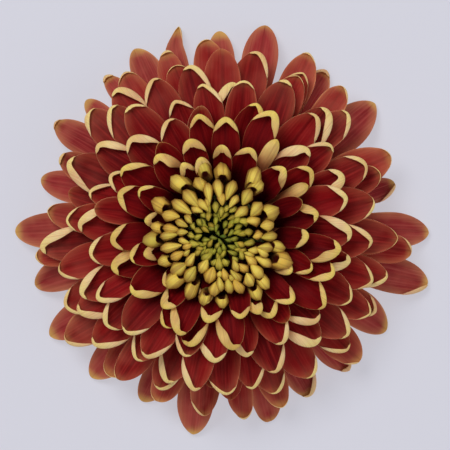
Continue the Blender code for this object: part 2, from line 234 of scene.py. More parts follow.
def turned(radii, heights, around, ribs, share):
    """A surface turned about the vertical axis, closed by a point at both ends.

    Point (i, j) is at radius r_i (1 + s_i cos(ribs a_j)) and angle a_j, at height h_i. The ribs
    fade out where their share s_i is nothing.
    """
    angle = np.linspace(0.0, math.tau, around, endpoint=False)
    radius = radii[1:-1, None] * (1.0 + share[1:-1, None] * np.cos(ribs * angle))
    height = np.broadcast_to(heights[1:-1, None], radius.shape)
    rings = np.stack([radius * np.cos(angle), radius * np.sin(angle), height], axis=-1)
    ends = np.array([[0.0, 0.0, heights[0]], [0.0, 0.0, heights[-1]]])
    return np.concatenate([rings.reshape(-1, 3), ends]), tube_faces(len(radii) - 2, around)


def stem_material():
    """Skin with streaks drawn out along the stem, and pale pith on the end that the knife left."""
    material, shader, base = new_material("stem_green", {"Subsurface Weight": 0.05})
    place = base.place()
    streaks = place.stretched((1.0, 1.0, 0.12)).noise(900.0, 3.0)
    skin = streaks.rise(0.35, 0.7).mix(linear(STEM_SKIN), linear(STEM_STREAK))
    pith = place.noise(2600.0).rise(0.3, 0.7).mix(linear(STEM_PITH), linear(STEM_STREAK))
    colour = base.read("pith", "Fac").mix(skin, pith)
    feed(shader, colour, 0.5 + 0.2 * streaks, streaks, strength=0.35, distance=0.2 * MM)
    return material


# From the sunken middle of the cut to its edge, up the stem, out with the flare and over the dome
flare = np.linspace(0.0, 1.0, FLARE_RINGS + 2)[1:-1]
dome = np.radians(np.linspace(0.0, 90.0, DOME_RINGS))
stem_radii = np.concatenate([
    [0.0, 0.45 * STEM_RADIUS, 0.94 * STEM_RADIUS, STEM_RADIUS, STEM_RADIUS],
    STEM_RADIUS + (RECEPTACLE_RADIUS - STEM_RADIUS) * smooth(flare),
    RECEPTACLE_RADIUS * np.cos(dome),
])
stem_heights = np.concatenate([
    [PITH_DEPTH, 0.5 * PITH_DEPTH, 0.0, CUT_EDGE, STEM_LENGTH],
    STEM_LENGTH + (RECEPTACLE_RIM - STEM_LENGTH) * flare,
    RECEPTACLE_RIM + RECEPTACLE_RISE * np.sin(dome),
])
ribbed = (stem_heights >= CUT_EDGE) & (stem_heights < RECEPTACLE_RIM)
stem_points, stem_faces = turned(
    stem_radii, stem_heights, STEM_AROUND, STEM_RIBS, STEM_RIB_SHARE * ribbed,
)
pith = stem_points[:, 2] < CUT_EDGE
add_piece(
    "cut_stem", [(stem_points, stem_faces, {"pith": pith.astype(float)})],
    stem_material(), ["stem_stub"],
)


# Two rows of green bracts cup the underside of the head. They are thin, dry leaf scales, grown
# onto the foot of the receptacle, with a pale papery margin and a darker keel.

BRACT_WALL = 0.35 * MM
BRACT_GRID = (8, 7)
BRACT_TAPER = 2.2
BRACT_FOOT = 0.75
BRACT_CUP = 0.2
BRACT_GREEN = (72, 98, 42)
BRACT_KEEL = (48, 70, 30)
BRACT_MARGIN = (168, 150, 104)
# How many a row has, how far from the axis they start and end, and how wide they are, in mm
BRACT_ROWS = {
    "outer_bracts": (15, 6.9, 12.0, 3.0),
    "inner_bracts": (18, 8.9, 14.6, 3.0),
}


def node_points(name):
    """The points of a node of the frame, as an array."""
    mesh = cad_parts[name].data
    points = np.empty(3 * len(mesh.vertices))
    mesh.vertices.foreach_get("co", points)
    return points.reshape(-1, 3)


def profile_of(name, degree=4):
    """Height over radius of a node: the polynomial that runs through the middle of its points."""
    points = node_points(name)
    return np.poly1d(np.polyfit(np.hypot(points[:, 0], points[:, 1]), points[:, 2], degree))


def closed_sheet(grid, wall):
    """A thin leaf as a closed surface, from a grid of points whose last row is folded shut.

    The upper skin is the grid. The lower one lies a wall below it along the normals, which are
    the cross products of the grid's two directions. A strip joins the skins round the margin. In
    the last row the points on both sides of the middle are the same, so they are joined.
    """
    rows, columns, _ = grid.shape
    normal = np.cross(np.gradient(grid, axis=0), np.gradient(grid, axis=1))
    normal[-1] += normal[-1, ::-1]
    normal /= np.linalg.norm(normal, axis=-1, keepdims=True) + 1e-12
    index = np.arange(rows * columns).reshape(rows, columns)
    index[-1] = np.minimum(index[-1], index[-1, ::-1])
    upper = np.stack([index[:-1, :-1], index[1:, :-1], index[1:, 1:], index[:-1, 1:]], axis=-1)
    under = upper[..., ::-1] + rows * columns
    edge = np.concatenate([index[::-1, 0], index[0, 1:], index[1:, -1]])
    below = edge + rows * columns
    rim = np.stack([edge[:-1], edge[1:], below[1:], below[:-1]], axis=-1)
    faces = np.concatenate([upper.reshape(-1, 4), under.reshape(-1, 4), rim])
    skins = np.concatenate([grid, grid - normal * wall[..., None]]).reshape(-1, 3)
    return skins, faces


def swung_round(x, y, z, angle):
    """Points that were laid out along x, turned about the vertical axis by angles in radians."""
    cosine, sine = np.cos(angle), np.sin(angle)
    return np.stack([x * cosine - y * sine, x * sine + y * cosine, z], axis=-1)


def bract_material():
    """Green scale, darker on its keel, with a dry margin and fine lengthwise lines."""
    material, shader, base = new_material("bract_green", {"Subsurface Weight": 0.05})
    blade = base.read("blade", "Vector")
    across = blade.part(1).absolute()
    lines = blade.stretched((2.0, 14.0, 1.0)).noise(2.0, 3.0)
    green = across.rise(0.05, 0.4).mix(linear(BRACT_KEEL), linear(BRACT_GREEN))
    colour = across.rise(0.72, 0.95).mix(green, linear(BRACT_MARGIN))
    shaded = (0.75 + 0.5 * lines).mix(linear((0, 0, 0)), colour)
    feed(shader, shaded, 0.55 + 0.2 * lines, lines, strength=0.3, distance=0.2 * MM)
    return material


def bract(profile, start, reach, width, azimuth, seed):
    """One bract on the turned surface that its node's points give.

    Seen from below it is a narrow leaf. At a share t of its length, half its width is w/2 times
    the square root of 1 - t^2.2, and a quarter less than that at its foot. It is cupped, so its
    edges lie higher by a fifth of their distance from the keel.
    """
    rows, columns = BRACT_GRID
    t = np.linspace(0.0, 1.0, rows)[:, None] + np.zeros(BRACT_GRID)
    v = np.linspace(-1.0, 1.0, columns)[None, :] + np.zeros(BRACT_GRID)
    swelling = BRACT_FOOT + (1.0 - BRACT_FOOT) * smooth(t, 0.0, 0.4)
    half = 0.5 * width * np.sqrt(np.clip(1.0 - t ** BRACT_TAPER, 0.0, 1.0)) * swelling
    x = start + (reach - start) * t
    y = half * v
    z = profile(np.hypot(x, y)) + BRACT_CUP * np.abs(y)
    grid = swung_round(x, y, z, math.radians(azimuth))
    points, faces = closed_sheet(grid, np.full(BRACT_GRID, BRACT_WALL))
    blade = np.stack([t, v, np.full(BRACT_GRID, seed)], axis=-1).reshape(-1, 3)
    return points, faces, {"blade": np.tile(blade, (2, 1))}


bract_finish = bract_material()
for bract_node, (count, start, reach, width) in BRACT_ROWS.items():
    profile = profile_of(bract_node, 3)
    bracts = [
        bract(profile, start * MM, reach * MM, width * MM, 360.0 * number / count, number)
        for number in range(count)
    ]
    bract_row = bract_node.replace("bracts", "bract_row")
    add_piece(bract_row, bracts, bract_finish, [bract_node])


# The outermost ray florets lie nearly flat and rest on the surface with their tips. Each is one
# thin fleshy strap grown from a narrow claw, red above and buff beneath, and dusty at its tip.

FLORET_WALL = 0.3 * MM
MARGIN_THINNED = 0.55
CLAW_WIDTH = 1.4 * MM
# The rows and the steps of a floret's grid, and how its rays are set
SIDE_ROWS = 12
TIP_ROWS = 12
BLADE_STEPS = 4
CREASE_STEPS = 4
ROWS_CROWDED = 1.7
SPINE_SHARE = 0.42
LEAST_BLADE = 0.1
# The angle of a fold, its crease, and the part of a flap that the crease takes up
FOLD_ANGLE = 150.0
FULL_FOLD = 0.3 * MM
LEAST_CREASE = 0.3 * MM
CREASE_ADDED = 0.4 * MM
MOST_CREASE = 0.4
FLAP_SPARED = 0.2 * MM
LEAST_FLAP = 0.04 * MM
# How long a flap is, where it is widest, and how wide it is at the tip
SHORTEST_FOLD = 4.0 * MM
FOLD_PER_FLAP = 3.9
HOOD_SHARE = 0.85
INNER_SHARE = 0.55
INNER_REACH = 15.0 * MM
OUTER_REACH = 33.0 * MM
WIDEST_AT = 0.22
TAIL_POWER = 1.7
CORNER_LENGTH = 2.0 * MM
CORNER_SHARE = 0.8
END_OF_WIDER = 0.52
END_OF_NARROWER = 0.4
# A floret that is rolled, one that is curled over, and one that is hooked
TUBE_CLOSED = 0.96
TUBE_END = 0.12
CURL_OVER = -48.0
HOOK_SPAN = (0.87, 1.04)
# How florets differ: the tip's length, point and lean, and the blade's sway, wave and tilt
CAP_SPREAD = (0.9, 1.12)
POINT_SPREAD = (0.98, 1.28)
LEAN = 0.09
SWAY = 1.4
WAVE = 0.25 * MM
TILT = 0.06
# How florets are laid on each other
PILE_CELL = 0.35 * MM
PILE_REACH = 46.0 * MM
PILE_GAP = 0.12 * MM
MOST_LIFT = 3.2 * MM
LIFT_ROUNDS = 3
LIFT_SPAN = (0.2, 0.62)
LIFT_TESTED = 0.42
LEAST_RAMP = 0.3
LEFT_HALF_TO = 0.55
RIGHT_HALF_FROM = 0.45
FLOOR_GAP = 0.02 * MM
DUSTY_RED = (188, 96, 78)
TIP_OLIVE = (222, 180, 98)
random = np.random.default_rng(11)


class Floret:
    """One ray floret: azimuth in degrees, sizes in millimetres.

    left, right and end are the widths of the reverse that show where the margin is folded over,
    on the side of smaller azimuth, on the other side, and at the tip. An end that isn't given is
    worked out from the wider and the narrower side. rolled is the share of its length that is a
    closed tube, or more than 1 where the whole floret is curled over and shows its back. taper
    draws the tip out, and hook bends it, in degrees.
    """

    def __init__(
        self, tip, reach, width, left=0.0, right=0.0, end=None, rolled=0.0, taper=1.0, hook=0.0,
    ):
        if end is None:
            end = END_OF_WIDER * max(left, right) + END_OF_NARROWER * min(left, right)
        self.tip = tip
        self.reach = reach * MM
        self.width = width * MM
        self.folds = (left * MM, right * MM)
        self.end = end * MM
        self.over = rolled > 1.0
        self.rolled = 0.0 if self.over else rolled
        self.taper = taper
        self.hook = hook


def halved(grid, times):
    """A grid of points, or of rows of numbers, with its spacing halved so many times."""
    for _ in range(2 * times):
        finer = np.empty((2 * grid.shape[0] - 1, *grid.shape[1:]))
        finer[::2] = grid
        finer[1::2] = 0.5 * (grid[1:] + grid[:-1])
        grid = finer.transpose(1, 0, 2)
    return grid


class Pile:
    """How high the florets that are laid already stand, on a square of small cells."""

    def __init__(self):
        count = int(2.0 * PILE_REACH / PILE_CELL)
        self.top = np.full((count, count), -1.0)

    def cells(self, grid):
        """The row and the column of the cell under each point."""
        index = ((grid[..., :2] + PILE_REACH) / PILE_CELL).astype(int)
        return index[..., 0], index[..., 1]

    def lay(self, grid):
        """Raises the cells under a grid of points, and under points set evenly between them."""
        grid = halved(grid, 3)
        np.maximum.at(self.top, self.cells(grid), grid[..., 2])

    def lift(self, grid, share, side):
        """How far a new floret is raised to lie on those before it.

        Its left and right margins are raised apart, as far as the worst place on each half
        needs, and it is raised in proportion between them, and less and less towards its claw.
        """
        ramp = smooth(share, *LIFT_SPAN)
        part = 0.5 + 0.5 * np.clip(side, -1.0, 1.0)
        fine = halved(np.dstack([grid, share, ramp, part]), 2)
        fine_share, fine_ramp, fine_part = fine[..., 3], fine[..., 4], fine[..., 5]
        needed = self.top[self.cells(fine)] + PILE_GAP + FLORET_WALL - fine[..., 2]
        gain = np.where(fine_share > LIFT_TESTED, 1.0 / np.maximum(fine_ramp, LEAST_RAMP), 0.0)
        halves = (fine_part < LEFT_HALF_TO, fine_part > RIGHT_HALF_FROM)
        raised = np.zeros(2)
        for _ in range(LIFT_ROUNDS):
            lifted = fine_ramp * (raised[0] * (1.0 - fine_part) + raised[1] * fine_part)
            short = gain * (needed - lifted)
            worst = [max(short[half].max(), 0.0) for half in halves]
            raised = np.minimum(raised + worst, MOST_LIFT)
        return ramp * (raised[0] * (1.0 - part) + raised[1] * part)


pile = Pile()


def flap_width(floret, fold, from_tip, along, half):
    """How wide the folded margin is at each row, on the side that has this fold.

    A flap is widest at a share WIDEST_AT of its length away from the tip. Its width changes to
    there as a sine does, and falls from there as a power of a cosine does, to nothing at its far
    end. It is longer on a wider fold, and shorter on a floret that reaches less far or is folded
    on both sides. On a side that isn't folded, it hooks round the tip and ends after
    CORNER_LENGTH. Where the floret is a closed tube, it is nearly half as wide as the blade.
    """
    drawn = INNER_SHARE + (1.0 - INNER_SHARE) * smooth(floret.reach, INNER_REACH, OUTER_REACH)
    drawn *= HOOD_SHARE if min(floret.folds) > 0.0 else 1.0
    length = drawn * (SHORTEST_FOLD + FOLD_PER_FLAP * fold)
    away = from_tip / (length if fold > 0.0 else CORNER_LENGTH)
    widest = max(fold, CORNER_SHARE * floret.end)
    near_tip = np.sin(0.5 * math.pi * np.clip(away / WIDEST_AT, 0.0, 1.0))
    far_off = np.cos(0.5 * math.pi * np.clip((away - WIDEST_AT) / (1.0 - WIDEST_AT), 0.0, 1.0))
    flap = (floret.end + (widest - floret.end) * near_tip) * np.abs(far_off) ** TAIL_POWER
    if floret.rolled > 0.0:
        tube = 1.0 - smooth(along, floret.rolled - TUBE_END, floret.rolled + TUBE_END)
        flap = np.maximum(flap, TUBE_CLOSED * half * tube)
    return flap


def rays(seen, cup_angle, flap):
    """The rays of one side: their run outwards, their climb, and the share of their length.

    Each ray rises at the cup's angle, then, where the margin is folded, through a crease to the
    fold's angle, and ends in a straight flap. The steps along a ray are added up, and the blade's
    own part is as long as it takes for the ray to reach the seen outline.
    """
    folded = smooth(flap / FULL_FOLD)
    last_angle = cup_angle + (math.radians(FOLD_ANGLE) - cup_angle) * folded
    crease = np.minimum(LEAST_CREASE + CREASE_ADDED * folded, MOST_CREASE * seen) / CREASE_STEPS
    crease_share = (np.arange(CREASE_STEPS) + 0.5) / CREASE_STEPS
    crease_angle = cup_angle[:, None] + (last_angle - cup_angle)[:, None] * crease_share
    straight = np.maximum(flap - FLAP_SPARED, LEAST_FLAP) / -math.cos(math.radians(FOLD_ANGLE))
    outer_angle = np.column_stack([crease_angle, last_angle])
    outer_step = np.column_stack([crease] * CREASE_STEPS + [straight])
    outer_run = np.cumsum(outer_step * np.cos(outer_angle), axis=1)
    blade_angle = cup_angle[:, None] * (np.arange(BLADE_STEPS) + 0.5) / BLADE_STEPS
    blade_run = np.maximum(seen - outer_run.max(axis=1), LEAST_BLADE * seen)
    blade_step = blade_run / np.cos(blade_angle).sum(axis=1)
    angle = np.column_stack([blade_angle, outer_angle])
    step = np.column_stack([blade_step] * BLADE_STEPS + [outer_step])
    length = np.cumsum(step, axis=1)
    return np.stack([
        np.cumsum(step * np.cos(angle), axis=1),
        np.cumsum(step * np.sin(angle), axis=1),
        length / length[:, -1:],
    ])


def floret_grid(floret, profile, start, cup, tip_share, rest):
    """Points of one floret, from the claw's row to the tip's, and from margin to margin.

    A row is a ray from the middle line to the margin on both sides. Along the strap, which
    widens as smooth does, it runs straight across, and round the tip it turns until it runs
    along the middle line. The tip's outline is a quarter of an oval on each side: its length
    goes as the sine, and its half width as a power of the cosine, of an angle up to 90 degrees.
    The points are laid at the heights of the node's profile, swung round to the floret's
    azimuth, and raised to lie on the pile.
    """
    side = 1.0 - np.linspace(1.0, 0.0, SIDE_ROWS) ** ROWS_CROWDED
    along = np.concatenate([side, np.ones(TIP_ROWS)])
    turn = np.concatenate([np.zeros(SIDE_ROWS), np.linspace(0.0, 1.0, TIP_ROWS + 1)[1:]])
    cap = floret.width * tip_share * floret.taper * random.uniform(*CAP_SPREAD)
    point = random.uniform(*POINT_SPREAD) + 0.5 * (floret.taper - 1.0)
    lean = random.uniform(-LEAN, LEAN) * floret.width
    strap_x = start + (floret.reach - cap - start) * along
    half = 0.5 * (CLAW_WIDTH + (floret.width - CLAW_WIDTH) * smooth(along))
    spine_x = strap_x + SPINE_SHARE * cap * turn
    margin_x = strap_x + cap * np.sin(0.5 * math.pi * turn)
    margin_y = half * np.cos(0.5 * math.pi * turn) ** point
    seen = np.hypot(margin_x - spine_x, margin_y)
    toward_x, toward_y = (margin_x - spine_x) / seen, margin_y / seen
    outline = np.hypot(np.diff(margin_x), np.diff(margin_y))
    from_tip = np.append(np.cumsum(outline[::-1])[::-1], 0.0)
    cup_angle = np.radians(CURL_OVER if floret.over else cup) * smooth(along, 0.1, 0.8)
    cup_angle *= 1.0 + 0.3 * turn
    left, right = [
        rays(seen, cup_angle, flap_width(floret, fold, from_tip, along, np.minimum(half, seen)))
        for fold in floret.folds
    ]
    mirrored = left[..., ::-1] * np.array([-1.0, 1.0, -1.0])[:, None, None]
    middle = np.zeros((3, len(along), 1))
    run, climb, across = np.concatenate([mirrored, middle, right], axis=2)
    x = spine_x[:, None] + toward_x[:, None] * np.abs(run)
    y = toward_y[:, None] * run + lean * smooth(turn[:, None])
    share = (x - start) / (floret.reach - start)
    bow = np.sin(math.pi * np.clip(share, 0.0, 1.0))
    hooked = floret.hook * (1.0 - smooth(share, *HOOK_SPAN))
    azimuth = np.radians(floret.tip + hooked + random.uniform(-SWAY, SWAY) * bow)
    z = profile(np.minimum(np.hypot(x, y), floret.reach)) + climb
    z += random.uniform(-WAVE, WAVE) * bow
    z += random.uniform(-TILT, TILT) * y * smooth(share, 0.1, 0.6)
    if rest:
        z = np.maximum(z, FLORET_WALL + FLOOR_GAP)
    grid = swung_round(x, y, z, azimuth)
    grid[..., 2] += pile.lift(grid, share, 2.0 * y / floret.width)
    pile.lay(grid)
    lateral = 2.0 * y / (floret.width * (1.0 - 0.3 * np.clip(share, 0.0, 1.0) ** 3))
    return grid, share, across, lateral


def floret_sheet(floret, profile, start, cup, tip_share, rest=False):
    """One floret as a closed sheet that thins to its margin, with the values for its colours.

    blade holds the share of the length, the place from the keel, 0, to the margins, -1 and 1,
    and a number of the floret's own. grain holds the same, but its second number is the distance
    from the keel, so that veins run lengthwise. reverse is 0 on the upper skin, 1 on the lower,
    and 1 on both where the whole floret is curled over.
    """
    grid, share, across, lateral = floret_grid(floret, profile, start, cup, tip_share, rest)
    wall = FLORET_WALL * (1.0 - MARGIN_THINNED * np.abs(across) ** 3)
    points, faces = closed_sheet(grid, wall)
    own = np.full(share.shape, random.uniform())
    blade = np.stack([share, across, own], axis=-1).reshape(-1, 3)
    grain = np.stack([share, lateral, own], axis=-1).reshape(-1, 3)
    reverse = np.repeat([1.0 if floret.over else 0.0, 1.0], len(blade))
    return points, faces, {
        "blade": np.tile(blade, (2, 1)), "grain": np.tile(grain, (2, 1)), "reverse": reverse,
    }


def floret_material(name, face, reverse, edge, edge_share, tip_share):
    """Petal skin: streaks run lengthwise, the face and the reverse have colours of their own.

    face and reverse each give the colour at the claw, in the middle and at the tip; the face's
    dark claw colour also carries painted shade. edge is the colour of the margins, partly their
    own and partly a painted highlight, edge_share how much of it they have, and tip_share how much
    olive the tip has.
    """
    material, shader, base = new_material(name, {
        "Subsurface Weight": 0.08, "Subsurface Scale": 0.5 * MM,
        "Subsurface Radius": (1.0, 0.25, 0.15), "Specular IOR Level": 0.06,
    })
    blade = base.read("blade", "Vector")
    along, across, own = blade.part(0), blade.part(1), blade.part(2)
    margin = across.absolute()
    grain = base.read("grain", "Vector")
    lateral = grain.part(1)
    place = base.place()
    from_axis = place.stretched((1.0, 1.0, 0.0)).length()
    cloud = place.noise(160.0)
    streaks = grain.stretched((1.2, 3.4, 40.0)).noise(2.0, 3.0)
    fine = grain.stretched((1.6, 13.0, 40.0)).noise(2.0)

    # The face pales from the claw outwards: its dark claw is partly its own colour and partly
    # painted shade where florets crowd over it. It pales along streaks, which are partly veins and
    # partly a painted sheen, and painted shade darkens the groove along the keel
    near, middle, far = [linear(colour) for colour in face]
    pale_edge = linear(edge)
    red = along.rise(0.35, 0.78).mix(near, middle)
    red = (0.5 * (1.0 - own.rise(0.0, 0.7))).mix(red, near)
    red = (0.5 * streaks.rise(0.4, 0.75) * along.rise(0.3, 0.8)).mix(red, far)
    red = (0.35 * (1.0 - lateral.absolute().rise(0.02, 0.2))).mix(red, near)

    # It turns a paler, duller red in patches towards the rim of the head, and olive at its tip.
    # Its margins are pale, partly their own colour and partly a painted highlight where they bend
    # to the light
    paler_towards_rim = from_axis.rise(22.0 * MM, 41.0 * MM) * (0.1 + 1.1 * cloud.rise(0.3, 0.75))
    red = (0.6 * paler_towards_rim).mix(red, linear(DUSTY_RED))
    red = (0.35 * edge_share * margin.rise(0.45, 1.0) * along.rise(0.3, 0.9)).mix(red, pale_edge)
    rim = margin.rise(0.88, 0.98) * along.rise(0.4, 0.95) * (0.1 + 1.1 * cloud.rise(0.35, 0.7))
    pale = base.math("FRACT", 5.0 * own)
    red = (edge_share * rim * (0.25 + 0.75 * pale)).mix(red, pale_edge)
    red = (tip_share * (along + 0.1 * (cloud - 0.5)).rise(0.94, 1.01)).mix(red, linear(TIP_OLIVE))

    # The reverse turns from pinkish at the claw to yellow at the tip, with fine pinkish veins
    base_reverse, middle_reverse, tip_reverse = [linear(colour) for colour in reverse]
    buff = along.rise(0.5, 0.86).mix(base_reverse, middle_reverse)
    buff = along.rise(0.86, 1.0).mix(buff, tip_reverse)
    buff = (0.45 * fine.rise(0.45, 0.75)).mix(buff, base_reverse)
    buff = (0.35 * (1.0 - cloud.rise(0.3, 0.55))).mix(buff, base_reverse)

    colour = base.read("reverse", "Fac").rise(0.4, 0.95).mix(red, buff)
    furrows = base.math("COSINE", 12.0 * lateral)
    relief = 0.5 * streaks + 0.3 * fine + 0.1 * furrows
    feed(shader, colour, 0.48 + 0.22 * fine, relief, strength=0.5, distance=0.3 * MM)
    return material


# Where the claws of both outer rows start from the axis
OUTER_START = 9.0 * MM
OUTER_CUP = 16.0
OUTER_TIP_SHARE = 1.02
TIP_BAND = 0.4 * MM
outer_finish = floret_material(
    "outer_floret_red",
    face=[(100, 8, 18), (160, 44, 48), (198, 96, 84)],
    reverse=[(206, 128, 104), (242, 200, 152), (244, 204, 140)],
    edge=(224, 160, 110), edge_share=0.85, tip_share=0.85,
)
# Folded widths of the outermost florets, in order round the head: left, right and tip
OUTER_FOLDS = [
    (0.6, 0, 0), (0, 0, 0), (0, 0.2, 0.6), (0, 0, 0), (0, 0, 0), (0.3, 0, 0.2), (0, 0, 0),
    (0, 0, 0.5), (0, 0, 0), (0, 0, 0.3), (0, 0, 0), (0, 0, 0), (0, 0, 0), (0, 0, 0), (0, 0, 0),
    (0, 0, 0), (0, 0, 0), (0.2, 0, 0), (0, 0.9, 0.4), (0, 0, 0.8), (0, 0, 0), (0.9, 0, 0),
    (0, 0, 0),
]

# The sixth tapers to a horn that hooks over: how much its tip is drawn out, and its bend
OUTER_DRAWN_OUT = {6: (1.75, 2.4)}


def outline_of(name):
    """Azimuth, reach and width of a single floret's node, read from its points."""
    points = node_points(name)
    radius = np.hypot(points[:, 0], points[:, 1])
    far = points[radius > radius.max() - TIP_BAND].mean(axis=0)
    azimuth = math.atan2(far[1], far[0])
    across = points[:, 1] * math.cos(azimuth) - points[:, 0] * math.sin(azimuth)
    return math.degrees(azimuth) % 360.0, radius.max() / MM, (across.max() - across.min()) / MM


def single_florets(label, folds, drawn_out, finish, cup, tip_share, rest=False):
    """Each node of a row of single florets gets a floret of its outline on its own profile."""
    for number, fold in enumerate(folds, 1):
        node = f"{label}_{number:02d}"
        taper, hook = drawn_out.get(number, (1.0, 0.0))
        floret = Floret(*outline_of(node), *fold, taper=taper, hook=hook)
        sheet = floret_sheet(floret, profile_of(node), OUTER_START, cup, tip_share, rest)
        add_piece(f"{label}_blade_{number:02d}", [sheet], finish, [node])


single_florets(
    "outer_floret", OUTER_FOLDS, OUTER_DRAWN_OUT, outer_finish,
    cup=OUTER_CUP, tip_share=OUTER_TIP_SHARE, rest=True,
)


# The second row fills the gaps of the outermost one from above. Its florets are the same straps,
# a little shorter and redder, and some show a thin line of their yellow reverse.

SECOND_CUP = 20.0
SECOND_TIP_SHARE = 0.9
SECOND_FOLDS = [
    (0.2, 0.2, 0.2), (0.3, 0, 0.2), (0.2, 0, 0.3), (0, 0.2, 0.2), (0, 0, 0.4), (0.2, 0.2, 0.3),
    (0, 0.6, 0.3), (0, 0, 0.5), (0.2, 0.2, 0.2), (0, 0.2, 0.3), (0, 0.8, 0.3), (0.2, 0.2, 0.2),
    (0.2, 0, 0), (0.4, 0, 0.2), (0, 0.2, 0.3), (0.2, 0.2, 0.2), (0.3, 0, 0), (0, 0.3, 0.6),
    (0, 0.3, 0.2),
]
second_finish = floret_material(
    "second_floret_red",
    face=[(84, 4, 10), (152, 30, 30), (190, 76, 62)],
    reverse=[(206, 128, 100), (250, 210, 156), (252, 216, 144)],
    edge=(220, 144, 98), edge_share=0.8, tip_share=0.4,
)
single_florets("second_floret", SECOND_FOLDS, {}, second_finish, SECOND_CUP, SECOND_TIP_SHARE)


# Seven whorls of inner florets stand ever steeper towards the disc. They are deep burgundy above,
# and their cupped margins fold over, so that the cream-yellow reverse shows as a crescent.

